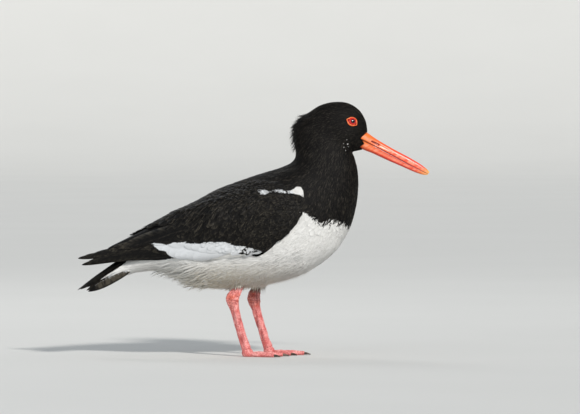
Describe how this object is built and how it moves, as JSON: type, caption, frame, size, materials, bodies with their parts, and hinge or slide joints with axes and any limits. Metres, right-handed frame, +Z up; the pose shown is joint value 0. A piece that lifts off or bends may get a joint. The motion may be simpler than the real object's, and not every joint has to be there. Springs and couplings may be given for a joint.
{
  "type": "oystercatcher",
  "caption": "Life-size standing wading bird with black and white plumage, long straight red bill, folded wings and three-toed pink feet.",
  "frame": {"origin": "on the floor under the middle of the bird's bounding box", "axes": "+X the way the bird faces, +Y its left side, +Z up"},
  "size_m": [0.3522, 0.113, 0.254],
  "materials": {
    "black_feather": "soft, slightly glossy black plumage",
    "white_feather": "soft white plumage",
    "bill": "smooth orange-red horn, paler at the tip",
    "eye": "wet red iris with a black pupil",
    "eyelid": "bare orange-red skin",
    "leg_skin": "pink scaled skin",
    "claw": "dark horn"
  },
  "bodies": {
    "root": {"back": "black_feather", "bill_lower": "bill", "bill_upper": "bill", "claw_left_inner": "claw", "claw_left_middle": "claw", "claw_left_outer": "claw", "claw_right_inner": "claw", "claw_right_middle": "claw", "claw_right_outer": "claw", "eye_left": "eye", "eye_right": "eye", "eyelid_left": "eyelid", "eyelid_right": "eyelid", "foot_left": "leg_skin", "foot_right": "leg_skin", "head": "black_feather", "neck": "black_feather", "shank_left": "leg_skin", "shank_right": "leg_skin", "tail": "black_feather", "torso": "white_feather", "wing_left": "black_feather", "wing_right": "black_feather"}
  },
  "joints": []
}
